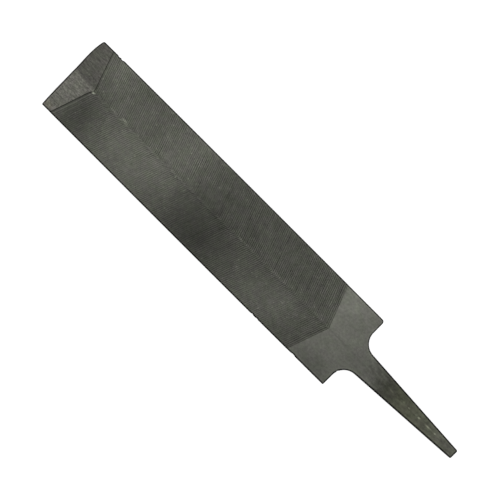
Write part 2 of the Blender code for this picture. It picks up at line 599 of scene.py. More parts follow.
@dataclass
class Blank:
    """The one piece of steel, built as a closed surface over the bar's section.

    Four sheets of cross-lines, for two sides of two faces, meet on the ridges and on the middle plane.

    Attributes:
        bar: The bar's section.
        blade: The blade's sizes.
        tang: The tang's sizes.
        sides: The sizes in which the sides differ.
        nicks: Dents in the outline.
        patches: Lighter and darker patches of the upper face, painted reflections.
        worn: Patches where the rows of teeth are shallower.
        middle_z: Height of the middle plane.
        plain_drop: How far plain steel lies below the tooth crests.
        columns: How many points each line has between the ridge's strip and the edge's rounding.
        wall_shade: How dark the painted shade on the upright side walls is, where 1 is as dark as the rounded edges.
        burnish_in: How far inside the outline's rounding a band of steel is painted a little brighter.
        burnish_reach: How wide that band is.
        dark_start: How far inside the rounding the dark rim of painted shade starts to fade.
        dark_reach: How far it takes to fade.
        least_height: The least height above the middle plane.
        least_slant: The least slant between line and outline that the rounding is widened for.
        strip_gap: The least room between the strips of points at ridge and edge.
        ridge_strip: Places of the points beside the ridge.
        rim_strip: Places of the points inside the edge's rounding.
        roll_degrees: Places of the points round it.
    """

    bar: Bar
    blade: Blade
    tang: Tang
    sides: dict[Side, SideSizes]
    nicks: tuple[Nick, ...]
    patches: tuple[Patch, ...]
    worn: tuple[Patch, ...]
    middle_z: float
    plain_drop: float = 0.10 * MM
    columns: int = 8
    # Painted shade on the upright walls and the rounded edges, and a brighter band inside them
    wall_shade: float = 0.05
    burnish_in: float = 0.55 * MM
    burnish_reach: float = 0.22 * MM
    dark_start: float = 0.10 * MM
    dark_reach: float = 0.26 * MM
    least_height: float = 0.04 * MM
    least_slant: float = 0.35
    strip_gap: float = 0.3 * MM
    ridge_strip: tuple[float, ...] = (0.08 * MM, 0.22 * MM, 0.45 * MM)
    rim_strip: tuple[float, ...] = (1.05 * MM, 0.76 * MM, 0.55 * MM, 0.36 * MM, 0.14 * MM)
    roll_degrees: tuple[float, ...] = (0.0, 22.5, 45.0, 67.5, 90.0)

    def cross_lines(self, side: Side) -> CrossLines:
        """Returns all lines of one side, from the tip end's middle to the tang end's middle."""
        sizes = self.sides[side]
        rng = np.random.default_rng(7)
        heel = self.blade.heel(sizes)
        parts = [self.blade.tip(sizes), self.blade.cut(sizes, rng), heel, self.tang.lines(sizes, heel)]
        return CrossLines.joined(parts)

    def dented(self, side: Side, outline: np.ndarray) -> np.ndarray:
        """Returns the outline with its nicks, each a bell-shaped dent."""
        dented = outline.copy()
        for nick in self.nicks:
            if nick.side is side:
                away = np.hypot(outline[:, 0] - nick.x, outline[:, 1] - nick.y)
                dented += np.outer(nick.depth * np.exp(-((away / nick.reach) ** 2)), nick.inward)
        return dented

    def divided(self, lines: CrossLines) -> tuple[np.ndarray, np.ndarray, np.ndarray, np.ndarray]:
        """Divides each line close to the ridge, evenly over the facet, and round the edge on a quarter circle.

        Where a line meets the outline at a slant, the quarter circle is stretched along the line by the slant. Where
        a line is short, its strips of close points are squeezed.

        Args:
            lines: The lines.

        Returns:
            Each line's length and slant, and each point's distance from the ridge and fall on the quarter circle.
        """
        count = len(lines.ridge_x)
        run = lines.outline - np.column_stack([lines.inner_x, np.zeros(count)])
        length = np.hypot(run[:, 0], run[:, 1])
        step = np.gradient(lines.outline, axis=0)
        step_length = np.maximum(np.hypot(step[:, 0], step[:, 1]), 1e-9)
        slant = np.abs(run[:, 0] * step[:, 1] - run[:, 1] * step[:, 0]) / (length * step_length)
        row_slant = math.cos(math.radians(self.blade.teeth.lean))
        slant = np.where(lines.bite > 0, row_slant, np.maximum(slant, self.least_slant))
        slant[[0, -1]] = 1.0
        strips = self.ridge_strip[-1] + (lines.roll + self.rim_strip[0]) / slant + self.strip_gap
        squeeze = np.minimum(1.0, length / strips)

        angle = np.radians(np.array(self.roll_degrees))
        strip = np.array(self.ridge_strip)[None, :] * squeeze[:, None]
        rim_back = (lines.roll[:, None] + np.array(self.rim_strip)[None, :]) / slant[:, None]
        roll_back = lines.roll[:, None] * (1.0 - np.sin(angle))[None, :] / slant[:, None]
        rings = length[:, None] - np.hstack([rim_back, roll_back]) * squeeze[:, None]
        inner = np.linspace(0.0, 1.0, self.columns + 2)[1:-1][None, :]
        facet = strip[:, -1:] + (rings[:, :1] - strip[:, -1:]) * inner
        reach = np.hstack([np.zeros((count, 1)), strip, facet, rings, length[:, None]])
        fall = np.zeros_like(reach)
        fall[:, -len(angle) - 1:-1] = lines.roll[:, None] * (1.0 - np.cos(angle))[None, :]
        return length, slant, reach, fall

    def bitten(
        self, lines: CrossLines, depth: np.ndarray, from_edge: np.ndarray
    ) -> tuple[np.ndarray, np.ndarray]:
        """Works out how deep the chisel went at each point.

        On the ridge both sides have the same profile and the same depth, so that their points meet. Beside it the
        profile is a little flatter. Towards the edge the depth falls to its rim share.

        Args:
            lines: The lines.
            depth: The depth of a tooth at each point.
            from_edge: Each point's distance from the outline.

        Returns:
            Each point's height in the tooth's profile, and how far it lies below the bar's surface.
        """
        teeth = self.blade.teeth
        rise = np.repeat(lines.rise[:, None], from_edge.shape[1], axis=1)
        rise[:, 0] = lines.ridge_rise
        rise[:, 1] = teeth.strip_low + teeth.strip_gain * rise[:, 1]
        thin = teeth.rim_share + (1.0 - teeth.rim_share) * ease(from_edge / teeth.shallow_rim)
        bite = lines.bite[:, None] * thin * depth
        bite[:, 0] = teeth.depth
        cut = (lines.bite > 0).astype(float)[:, None]
        below = cut * bite * (1.0 - np.maximum(rise, 0.0)) + (1.0 - cut) * self.plain_drop
        return rise * cut, below

    def edge_value(self, lines: CrossLines, slant: np.ndarray, from_edge: np.ndarray) -> np.ndarray:
        """Returns 1 on the rounded edge's painted shade, fading inside it, less a bell curve over a brighter band.

        Args:
            lines: The lines.
            slant: Each line's slant.
            from_edge: Each point's distance from the outline.

        Returns:
            The value of each point.
        """
        inside = from_edge * slant[:, None] - lines.roll[:, None]
        bright_band = np.exp(-(((inside - self.burnish_in) / self.burnish_reach) ** 2))
        # Painted shade on the rounded edge, fading inside it, less the brighter band
        edge = 1.0 - ease((inside - self.dark_start) / self.dark_reach) - bright_band
        # Painted shade on the upright side walls
        edge[:, -2:] = self.wall_shade
        return edge

    def sheet(self, side: Side, face: Face) -> tuple[np.ndarray, dict[str, np.ndarray]]:
        """Works out one of the four sheets, as lines by columns.

        A point lies on its line at its share of the way, moved a little where the rows wander. Its height is the
        bar's, less the tooth's depth or the plain drop, less the quarter circle's fall. The last column lies on the
        middle plane.

        The values are "tooth", the height in the tooth's profile, below 0 in the first gullet, where it paints a
        shadow;
        "edge", 1 on the rounded edge's painted shade and below 0 on the brighter band inside it; and
        "tone", how light the steel is, about 1, with painted reflections in patches.

        Args:
            side: The side of the centre line.
            face: The upper face or the underside.

        Returns:
            The points, as lines by columns by x, y and z, and the values of each point by name.
        """
        teeth = self.blade.teeth
        lines = self.cross_lines(side)
        rng = np.random.default_rng(20 + 3 * face.value + side.value)
        length, slant, reach, fall = self.divided(lines)
        share = reach / length[:, None]
        from_edge = (1.0 - share) * length[:, None]

        outline = self.dented(side, lines.outline)
        x = lines.inner_x[:, None] + (outline[:, :1] - lines.inner_x[:, None]) * share
        x = x + (lines.ridge_x - lines.inner_x)[:, None] * (1.0 - ease(reach / teeth.join_reach))
        x[:, 0] = lines.ridge_x
        y = outline[:, 1:] * share

        cut = (lines.bite > 0).astype(float)[:, None]
        wander = teeth.wander * soft_field(rng, share.shape, (teeth.rows // 2, 13)) * cut
        wander[:, 0] = 0.0
        from_first = (lines.ridge_x - self.blade.tip_x - self.blade.tip_plain)[:, None]
        x = x + wander * ease(from_edge / teeth.straight_rim) * ease(from_first / teeth.straight_start)

        uneven = teeth.unevenness * soft_field(rng, share.shape, (teeth.rows * 2, 12))
        patchy = teeth.patchiness * soft_field(rng, share.shape, (teeth.rows // 5, 6))
        worn = self.soft_sum(self.worn, x, side.value * y, face)
        depth = teeth.depth * np.clip(worn + uneven + patchy, teeth.least, teeth.most)
        rise, below = self.bitten(lines, depth, from_edge)
        height = np.maximum(self.bar.height(y, lines.soft[:, None]) - below - fall, self.least_height)
        height[:, -1] = 0.0

        points = np.stack([x, side.value * y, self.middle_z + face.value * height], axis=-1)
        # Painted reflections in patches, times each row's brightness
        tone = self.soft_sum(self.patches, x, side.value * y, face) * lines.shade[:, None]
        return points, {"tooth": rise, "edge": self.edge_value(lines, slant, from_edge), "tone": tone}

    def soft_sum(self, patches: tuple[Patch, ...], x: np.ndarray, y: np.ndarray, face: Face) -> np.ndarray:
        """Returns 1 plus what the soft patches add at each point.

        The underside has the same patches turned end for end, so that it isn't a copy of the upper face.
        """
        centre = self.blade.tip_x + (self.blade.shoulder_x - self.blade.tip_x) / 2
        seen_x = x if face is Face.UPPER else 2 * centre - x
        return 1.0 + sum(patch.lift(seen_x, y) for patch in patches)

    def surface(self) -> tuple[np.ndarray, np.ndarray, np.ndarray, dict[str, np.ndarray]]:
        """Joins the four sheets into one closed surface.

        Neighbouring lines and columns give four-sided faces, wound so that they face outwards. Points that two sheets
        share, on the ridges, on the middle plane and on the end lines, become one.

        Returns:
            The points, the faces, each face's zone and the points' values by name.
        """
        points, faces, zones, values = [], [], [], {}
        base = 0
        for face in Face:
            for side in Side:
                grid, named = self.sheet(side, face)
                lines, columns = grid.shape[:2]
                index = base + np.arange(lines * columns).reshape(lines, columns)
                quad = np.stack([index[:-1, :-1], index[1:, :-1], index[1:, 1:], index[:-1, 1:]], axis=-1)
                if side.value * face.value < 0:
                    quad = quad[..., ::-1]
                cut = self.cross_lines(side).bite > 0
                zone = np.zeros(quad.shape[:2], dtype=np.int32)
                zone[cut[:-1] | cut[1:]] = Zone.CUT.value
                points.append(grid.reshape(-1, 3))
                faces.append(quad.reshape(-1, 4))
                zones.append(zone.reshape(-1))
                for name, value in named.items():
                    values.setdefault(name, []).append(value.reshape(-1))
                base += lines * columns
        return self.welded(
            np.concatenate(points),
            np.concatenate(faces),
            np.concatenate(zones),
            {name: np.concatenate(value) for name, value in values.items()},
        )

    @staticmethod
    def welded(
        points: np.ndarray, faces: np.ndarray, zones: np.ndarray, values: dict[str, np.ndarray]
    ) -> tuple[np.ndarray, np.ndarray, np.ndarray, dict[str, np.ndarray]]:
        """Returns the surface with points in the same place made one."""
        rounded = np.round(points / 1e-7).astype(np.int64)
        _, first, index = np.unique(rounded, axis=0, return_index=True, return_inverse=True)
        merged = {name: value[first] for name, value in values.items()}
        return points[first], index.reshape(-1)[faces], zones, merged

    def build(self) -> bpy.types.Object:
        """Makes the surface a mesh object, smooth but for the teeth and other sharp edges.

        Returns:
            The piece.
        """
        points, faces, zones, values = self.surface()
        mesh = bpy.data.meshes.new("toothed_file_blank")
        mesh.from_pydata(points, [], faces)
        mesh.polygons.foreach_set("material_index", zones)
        for name, value in values.items():
            layer = mesh.attributes.new(name, "FLOAT", "POINT")
            layer.data.foreach_set("value", value.astype(np.float32))
        mesh.shade_smooth()
        mesh.set_sharp_from_angle(angle=math.radians(28.0))
        mesh.update()
        piece = bpy.data.objects.new("toothed_file_blank", mesh)
        bpy.context.scene.collection.objects.link(piece)
        return piece


# -----------------------------------------------------------------------------
# Finishes
# -----------------------------------------------------------------------------


class Graph:
    """The nodes of a material or of the room's light, with short calls that add and join them."""

    def __init__(self, owner: bpy.types.Material | bpy.types.World, shader: str = "Principled BSDF") -> None:
        """Takes the owner's nodes, with nothing but its shader and its output.

        Args:
            owner: The material or world.
            shader: The name of its shader node.
        """
        owner.use_nodes = True
        self.owner = owner
        self.tree = owner.node_tree
        self.shader = self.tree.nodes[shader]

    @classmethod
    def of_material(cls, name: str) -> "Graph":
        """Returns the nodes of a new material."""
        return cls(bpy.data.materials.new(name))

    def feed(self, socket: bpy.types.NodeSocket, source: Source) -> None:
        """Links a socket to the source, or sets it where the source is a value."""
        if isinstance(source, bpy.types.NodeSocket):
            self.tree.links.new(source, socket)
        else:
            socket.default_value = source

    def add(self, kind: str, inputs: dict[str | int, Source], **settings: object) -> bpy.types.Node:
        """Adds a node.

        Args:
            kind: Its type, without the leading ShaderNode.
            inputs: What feeds its sockets, by name or number.
            **settings: Its properties.

        Returns:
            The node.
        """
        node = self.tree.nodes.new("ShaderNode" + kind)
        for name, value in settings.items():
            setattr(node, name, value)
        for name, source in inputs.items():
            self.feed(node.inputs[name], source)
        return node

    def worked(self, operation: str, first: Source, second: Source = 0.0) -> bpy.types.NodeSocket:
        """Returns the result of a Math node."""
        return self.add("Math", {0: first, 1: second}, operation=operation).outputs[0]

    def plus(self, first: Source, second: Source) -> bpy.types.NodeSocket:
        """Returns a sum."""
        return self.worked("ADD", first, second)

    def times(self, first: Source, second: Source) -> bpy.types.NodeSocket:
        """Returns a product."""
        return self.worked("MULTIPLY", first, second)

    def less(self, taken: Source) -> bpy.types.NodeSocket:
        """Returns 1 less a value."""
        return self.worked("SUBTRACT", 1.0, taken)

    def mapped(self, value: Source, low: float, high: float, at_low: float, at_high: float) -> bpy.types.NodeSocket:
        """Returns a value carried from one range to another, and held inside it."""
        inputs = {"Value": value, "From Min": low, "From Max": high, "To Min": at_low, "To Max": at_high}
        return self.add("MapRange", inputs, clamp=True).outputs["Result"]

    def band(
        self, value: Source, rise: tuple[float, float], fall: tuple[float, float], end: float, top: float = 1.0
    ) -> bpy.types.NodeSocket:
        """Returns a share that rises from 0 to its top over one range of a value and falls over another.

        Args:
            value: The value.
            rise: The range over which the share rises.
            fall: The range over which it falls.
            end: What part of it is left beyond the second range.
            top: The share between the ranges.

        Returns:
            The share.
        """
        return self.times(self.mapped(value, *rise, 0.0, top), self.mapped(value, *fall, 1.0, end))

    def blend(self, share: Source, first: Source, second: Source) -> bpy.types.NodeSocket:
        """Returns two numbers mixed by a share."""
        return self.add("Mix", {0: share, 2: first, 3: second}).outputs[0]

    def mixed(self, share: Source, first: Source, second: Source, how: str = "MIX") -> bpy.types.NodeSocket:
        """Returns two colours mixed by a share."""
        return self.add("Mix", {0: share, 6: first, 7: second}, data_type="RGBA", blend_type=how).outputs[2]

    def tinted(self, colour: Source, tint: Source, share: Source) -> bpy.types.NodeSocket:
        """Returns a colour mixed, by a share, with its product with a tint."""
        return self.mixed(share, colour, self.mixed(1.0, colour, tint, "MULTIPLY"))

    def scaled(self, colour: Source, factor: Source) -> bpy.types.NodeSocket:
        """Returns a colour times a number."""
        plain = colour[:3] if isinstance(colour, tuple) else colour
        node = self.add("VectorMath", {0: plain, "Scale": factor}, operation="SCALE")
        return node.outputs["Vector"]

    def value(self, name: str) -> bpy.types.NodeSocket:
        """Returns one of the piece's own values."""
        return self.add("Attribute", {}, attribute_name=name, attribute_type="GEOMETRY").outputs["Fac"]

    def place(self) -> bpy.types.NodeSocket:
        """Returns the place on the piece, in metres."""
        return self.add("TexCoord", {}).outputs["Object"]

    def along_and_across(self) -> tuple[bpy.types.NodeSocket, bpy.types.NodeSocket]:
        """Returns the place along the length and the place across it."""
        place = self.add("SeparateXYZ", {0: self.place()})
        return place.outputs["X"], place.outputs["Y"]

    def noise(
        self, counts: float | tuple[float, float, float], detail: float = 3.0, roughness: float = 0.55
    ) -> bpy.types.NodeSocket:
        """Returns noise.

        Args:
            counts: How many grains there are to the metre, alike in all directions or along X, Y and Z.
            detail: How many finer layers are added.
            roughness: How strong each layer is against the one before.

        Returns:
            The noise, about 0.5 and mostly between 0.3 and 0.7.
        """
        scale = counts if isinstance(counts, tuple) else (counts,) * 3
        spread = self.add("Mapping", {"Vector": self.place(), "Scale": scale}).outputs[0]
        inputs = {"Vector": spread, "Scale": 1.0, "Detail": detail, "Roughness": roughness}
        return self.add("TexNoise", inputs).outputs["Fac"]

    def mottled(self, colour: Source, noise: Source, low: float, high: float) -> bpy.types.NodeSocket:
        """Returns a colour times a factor that follows noise from low to high."""
        return self.scaled(colour, self.mapped(noise, 0.3, 0.7, low, high))

    def stained(self, colour: Source, first: Colour, second: Colour) -> bpy.types.NodeSocket:
        """Returns a colour with faint stains of two tints."""
        share = self.mapped(self.noise((250.0, 310.0, 250.0)), 0.4, 0.6, 0.0, 1.0)
        return self.mixed(1.0, colour, self.mixed(share, first, second), "MULTIPLY")

    def rimmed(self, colour: Source) -> bpy.types.NodeSocket:
        """Returns a colour darkened by painted shade on the outline's rounded edge and brightened a little in a band
        inside it.
        """
        edge = self.value("edge")
        # Painted shade on the rounded edge, and a brighter band inside it
        dark = self.scaled(colour, self.mapped(edge, 0.0, 1.0, 1.0, 0.10))
        return self.scaled(dark, self.mapped(edge, -1.0, 0.0, 1.16, 1.0))

    def finished(
        self, colour: Source, metallic: float, rough: Source, grain: Source, depth: float
    ) -> bpy.types.Material:
        """Feeds the shader and returns the material.

        Args:
            colour: The steel's colour.
            metallic: How metallic it is.
            rough: How rough it is.
            grain: Noise whose bumps show on it.
            depth: Height of those bumps.

        Returns:
            The material.
        """
        bump = self.add("Bump", {"Height": grain, "Distance": depth, "Strength": 0.5}).outputs[0]
        for name, source in (("Base Color", colour), ("Metallic", metallic), ("Roughness", rough), ("Normal", bump)):
            self.feed(self.shader.inputs[name], source)
        return self.owner


@dataclass(frozen=True)
class Spot:
    """A small spot of the upper face with a painted highlight, or with a colour of its own.

    Attributes:
        x: Its middle along the length.
        y: Its middle across, positive to the left.
        reach_x: Its reach along the length.
        reach_y: Its reach across.
        gain: Its strength in its middle: by what share it is brighter, or the share of its own colour.
        z: Height of the upper ridge.
        reach_z: How far below that height a spot still shows.
    """

    x: float
    y: float
    reach_x: float
    reach_y: float
    gain: float
    z: float = 5.0 * MM
    reach_z: float = 3.0 * MM

    def shine(self, graph: Graph) -> bpy.types.NodeSocket:
        """Returns the spot's gain, which falls off with the distance from its middle, measured in its reaches."""
        reach = Vector((self.reach_x, self.reach_y, self.reach_z))
        middle = Vector((self.x, self.y, self.z))
        scale = Vector(1.0 / side for side in reach)
        inputs = {"Vector": graph.place(), "Location": -middle * scale, "Scale": scale}
        away = graph.add("VectorMath", {0: graph.add("Mapping", inputs).outputs[0]}, operation="LENGTH")
        return graph.mapped(away.outputs["Value"], 0.2, 1.0, self.gain, 0.0)

    @staticmethod
    def all_shine(graph: Graph, spots: tuple["Spot", ...]) -> bpy.types.NodeSocket:
        """Returns 1 plus the gains of all spots."""
        total = 1.0
        for spot in spots:
            total = graph.plus(total, spot.shine(graph))
        return total


@dataclass(frozen=True)
class CutSteel:
    """The finish of the teeth: matt backs, gullets darkened by painted shade and crests brightened by painted
    highlights, with faint stains.

    Attributes:
        gullet: Colour at the bottom of a tooth, with painted shade.
        back: Colour of a tooth's back.
        crest: Colour of its crest, with a painted highlight.
        brown: Tint of the warmer stains.
        green: Tint of the cooler stains.
        metallic: How metallic the steel is.
        roughness: How rough it is.
        spots: Painted highlights on the crests along the ridge.
    """

    # Painted shade in the gullets and a painted highlight on the crests, about the backs' colour
    gullet: Colour = grey_green(80, 81, 75)
    back: Colour = grey_green(97, 98, 92)
    crest: Colour = grey_green(114, 115, 109)
    brown: Colour = (1.015, 0.985, 0.995, 1.0)
    green: Colour = (0.985, 1.013, 0.935, 1.0)
    metallic: float = 0.85
    roughness: float = 0.44
    # Painted highlights on the ridge: along, across and reaches in mm, then gain
    spots: tuple[Spot, ...] = in_mm(Spot, (
        (-90.6, 0.0, 0.9, 0.6, 2.7),
        (-90.7, 1.1, 0.5, 0.6, 1.2),
        (-88.3, 3.0, 0.5, 0.5, 0.9),
        (-90.4, 3.6, 0.5, 0.5, 0.7),
        (-80.5, 0.7, 2.5, 0.5, 0.5),
        (-74.8, 1.0, 1.6, 0.6, 1.0),
        (-46.2, -0.6, 0.6, 0.5, 1.0),
        (-12.5, 0.3, 1.6, 0.4, 0.6),
    ))

    def rows(self, graph: Graph, along: Source, across: Source) -> bpy.types.NodeSocket:
        """Returns the colour of the rows, which follows the height in the tooth: painted shade in the gullets,
        painted highlights on the crests.

        Args:
            graph: The material's nodes.
            along: Place along the length.
            across: Place from the centre line.

        Returns:
            The colour.
        """
        tooth = graph.value("tooth")
        # The first gullet's painted shadow, where the tooth's value is below 0, on top of the gullets' painted shade
        gullet = graph.scaled(self.gullet, graph.mapped(tooth, -1.0, 0.0, 0.22, 1.0))

        # In worn places the rows' painted shade and highlights hardly show, but the first gullet stays dark
        worn = graph.mapped(graph.noise((70.0, 90.0, 70.0), 2.0, 0.5), 0.44, 0.60, 0.0, 0.85)
        worn = graph.times(worn, graph.mapped(tooth, -0.1, 0.0, 0.0, 1.0))
        crisp = graph.less(worn)
        raised = graph.worked("MAXIMUM", graph.mapped(tooth, 0.0, 0.35, 0.0, 1.0), worn)
        body = graph.mixed(raised, gullet, self.back)

        # Painted highlights on the crests are brightest in the half towards the tang, and fainter on the right facet
        crest_highlight = graph.times(graph.mapped(along, -60.0 * MM, 0.0, 0.1, 1.0), crisp)
        crest_highlight = graph.times(crest_highlight, graph.mapped(across, -4.5 * MM, -1.5 * MM, 0.35, 1.0))
        body = graph.mixed(graph.times(crest_highlight, graph.mapped(tooth, 0.6, 1.0, 0.0, 1.0)), body, self.crest)

        # The painted shade and highlights of the rows stand out in clumps, and most where the chisel started, on the
        # ridge
        clump = graph.mapped(graph.noise(290.0, 3.0, 0.6), 0.44, 0.66, 0.0, 1.6)
        from_ridge = graph.worked("ABSOLUTE", graph.plus(across, 0.2 * MM))
        on_ridge = graph.mapped(from_ridge, 0.3 * MM, 1.1 * MM, 1.6, 0.0)
        on_ridge = graph.times(on_ridge, graph.mapped(along, -52.0 * MM, -40.0 * MM, 0.1, 1.0))
        strength = graph.plus(graph.times(clump, crisp), on_ridge)
        row_light_and_shade = graph.times(strength, graph.mapped(tooth, 0.0, 1.0, -0.16, 0.16))
        return graph.scaled(body, graph.plus(row_light_and_shade, 1.0))

    def weathered(self, graph: Graph, body: Source, grain: Source) -> bpy.types.NodeSocket:
        """Returns the colour with stains, pits and worn bright specks.

        Args:
            graph: The material's nodes.
            body: The colour.
            grain: Fine noise.

        Returns:
            The new colour.
        """
        body = graph.stained(body, self.brown, self.green)
        body = graph.mottled(body, grain, 0.82, 1.18)
        body = graph.mottled(body, graph.noise(620.0, 2.0, 0.6), 0.90, 1.10)
        body = graph.mottled(body, graph.noise((180.0, 300.0, 180.0)), 0.92, 1.08)
        return graph.scaled(body, graph.mapped(graph.noise(1150.0, 1.0, 0.5), 0.66, 0.76, 1.0, 1.5))

    @staticmethod
    def ridged(graph: Graph, body: Source, across: Source) -> bpy.types.NodeSocket:
        """Returns the colour with a painted highlight on the ridge's left flank, in dashes, and painted shade on its
        right one.
        """
        # Painted highlight in dashes on the ridge's left flank, painted shade on its right one
        dashes = graph.mapped(graph.noise((300.0, 90.0, 90.0), 2.0, 0.6), 0.46, 0.66, 0.03, 0.32)
        lit_flank = graph.times(graph.band(across, (-0.1 * MM, 0.1 * MM), (0.4 * MM, 1.2 * MM), 0.0), dashes)
        shaded = graph.band(across, (-1.4 * MM, -0.7 * MM), (-0.4 * MM, 0.0), 0.0, 0.16)
        return graph.scaled(graph.scaled(body, graph.plus(lit_flank, 1.0)), graph.less(shaded))

    def material(self) -> bpy.types.Material:
        """Returns the finish as a material."""
        graph = Graph.of_material("cut_file_steel")
        along, across = graph.along_and_across()
        grain = graph.noise(1500.0, 2.0, 0.6)
        body = self.weathered(graph, self.rows(graph, along, across), grain)
        # Painted reflections, in lighter and darker patches
        body = graph.scaled(body, graph.value("tone"))
        # Painted highlights on the ridge's crests
        body = graph.scaled(body, Spot.all_shine(graph, self.spots))
        # Painted highlight and shade beside the ridge, then painted shade on the rounded edge
        body = graph.rimmed(self.ridged(graph, body, across))
        rough = graph.mapped(grain, 0.3, 0.7, self.roughness - 0.06, self.roughness + 0.08)
        return graph.finished(body, self.metallic, rough, grain, 0.03 * MM)


@dataclass(frozen=True)
class GroundSteel:
    """The finish of the tip, the heel, the edges and the tang: fine lines along the length, and heat colours.

    Attributes:
        steel: Colour of the plain steel.
        heated: Tint where the tang was heated most.
        straw: Tint where it was heated less.
        brown: Tint of the warmer stains.
        green: Tint of the cooler stains.
        rosy: Tint of the plain tip.
        ochre: Tint of a rusty spot.
        dull: How bright the tip's left half is against its right, with painted shade.
        metallic: How metallic the steel is.
        roughness: How rough it is.
        rust: Where the rusty spot is.
        spots: Painted highlights on the tang's ridge.
    """

    steel: Colour = grey_green(121, 122, 115)
    heated: Colour = (0.50, 0.50, 0.47, 1.0)
    straw: Colour = (0.70, 0.71, 0.59, 1.0)
    brown: Colour = (1.01, 0.99, 0.995, 1.0)
    green: Colour = (0.985, 1.01, 0.95, 1.0)
    rosy: Colour = (1.0, 0.97, 0.98, 1.0)
    ochre: Colour = (1.10, 1.02, 0.84, 1.0)
    dull: float = 0.56
    metallic: float = 0.85
    roughness: float = 0.40
    rust: Spot = Spot(-100.3 * MM, -15.3 * MM, 4.5 * MM, 2.6 * MM, 1.0)
    # Painted highlights on the tang's ridge: along, across and reaches in mm, then gain
    spots: tuple[Spot, ...] = in_mm(Spot, (
        (77.6, 0.0, 0.6, 0.35, 1.2),
        (82.9, 0.0, 0.8, 0.45, 2.0),
        (88.0, 0.0, 2.2, 0.40, 1.5),
        (91.3, 0.0, 0.7, 0.40, 1.2),
    ))

    def plain(self, graph: Graph, along: Source, across: Source, cloudy: Source) -> bpy.types.NodeSocket:
        """Returns the colour of plain steel, with painted reflections in patches and a faint dark line on the heel's
        ridge.

        Args:
            graph: The material's nodes.
            along: Place along the length.
            across: Place from the centre line.
            cloudy: How bright the steel is in broad clouds.

        Returns:
            The colour.
        """
        body = graph.stained(graph.scaled(self.steel, cloudy), self.brown, self.green)
        body = graph.mottled(body, graph.noise(1100.0, 2.0, 0.6), 0.86, 1.14)
        # Painted reflections, in lighter and darker patches
        body = graph.scaled(body, graph.value("tone"))
        on_heel = graph.band(along, (33.0 * MM, 36.0 * MM), (44.0 * MM, 50.0 * MM), 0.0)
        line = graph.band(across, (-0.7 * MM, -0.3 * MM), (0.0, 0.4 * MM), 0.0, 0.14)
        return graph.scaled(body, graph.less(graph.times(on_heel, line)))

    def scratched(
        self, graph: Graph, body: Source, streaks: Source, at_tip: Source, across: Source
    ) -> bpy.types.NodeSocket:
        """Returns the colour scratched lengthwise, most of all on the plain tip, whose left half is darker with
        painted shade.

        Args:
            graph: The material's nodes.
            body: The colour.
            streaks: Noise drawn out along the length.
            at_tip: The plain tip's share.
            across: Place from the centre line.

        Returns:
            The new colour.
        """
        # Painted shade on the plain tip's left half
        left = graph.times(at_tip, graph.mapped(across, 0.5 * MM, 2.0 * MM, 0.0, 1.0))
        body = graph.scaled(body, graph.mapped(left, 0.0, 1.0, 1.0, self.dull))
        fine = graph.mapped(streaks, 0.3, 0.7, 0.93, 1.07)
        coarse = graph.mapped(streaks, 0.34, 0.66, 0.63, 1.43)
        body = graph.scaled(body, graph.blend(at_tip, fine, coarse))
        sand = graph.mapped(graph.noise((1700.0, 2600.0, 2600.0), 2.0, 0.7), 0.3, 0.7, -0.42, 0.42)
        sand = graph.times(sand, graph.mapped(left, 0.0, 1.0, 1.0, 0.5))
        body = graph.scaled(body, graph.plus(graph.times(sand, at_tip), 1.0))
        return graph.tinted(body, self.rosy, at_tip)

    def forged(self, graph: Graph, body: Source, along: Source, across: Source) -> bpy.types.NodeSocket:
        """Returns the colour with heat colours over the tang, whose borders are uneven.

        Args:
            graph: The material's nodes.
            body: The colour.
            along: Place along the length.
            across: Place from the centre line.

        Returns:
            The new colour.
        """
        stray = graph.mapped(graph.noise((150.0, 330.0, 330.0), 4.0, 0.7), 0.3, 0.7, -4.0 * MM, 4.0 * MM)
        warm = graph.plus(along, graph.plus(stray, graph.times(across, 0.6)))
        dark = graph.band(warm, (55.8 * MM, 65.3 * MM), (66.2 * MM, 76.2 * MM), 0.0)
        yellow = graph.band(warm, (64.0 * MM, 72.0 * MM), (80.0 * MM, 100.0 * MM), 0.45)
        return graph.tinted(graph.tinted(body, self.straw, yellow), self.heated, dark)

    def rubbed(self, graph: Graph, body: Source, on_tang: Source, across: Source) -> bpy.types.NodeSocket:
        """Returns the colour with painted highlights on the tang's ridge, in dashes and in spots."""
        on_ridge = graph.mapped(graph.worked("ABSOLUTE", across), 0.1 * MM, 0.4 * MM, 1.0, 0.0)
        dashes = graph.mapped(graph.noise((330.0, 60.0, 60.0), 2.0, 0.6), 0.48, 0.66, 0.05, 0.5)
        bright = graph.times(graph.times(on_ridge, on_tang), dashes)
        return graph.scaled(body, graph.plus(bright, Spot.all_shine(graph, self.spots)))

    def material(self) -> bpy.types.Material:
        """Returns the finish as a material."""
        graph = Graph.of_material("ground_file_steel")
        streaks = graph.noise((280.0, 2000.0, 2000.0), 4.0, 0.8)
        clouds = graph.noise((110.0, 160.0, 160.0), 4.0, 0.6)
        along, across = graph.along_and_across()
        at_tip = graph.mapped(along, -88.5 * MM, -80.0 * MM, 1.0, 0.0)
        on_tang = graph.mapped(along, 50.0 * MM, 64.0 * MM, 0.0, 1.0)

        # The tip has no clouds; the tang is left rough from the forge, and a little darker
        cloudy = graph.blend(at_tip, graph.mapped(clouds, 0.3, 0.7, 0.89, 1.11), 1.0)
        body = self.plain(graph, along, across, cloudy)
        scale = graph.mapped(graph.noise((420.0, 700.0, 700.0), 3.0, 0.6), 0.35, 0.65, -0.12, 0.28)
        body = graph.scaled(body, graph.less(graph.times(on_tang, scale)))
        body = self.scratched(graph, body, streaks, at_tip, across)
        body = graph.tinted(body, self.ochre, self.rust.shine(graph))
        body = self.forged(graph, body, along, across)
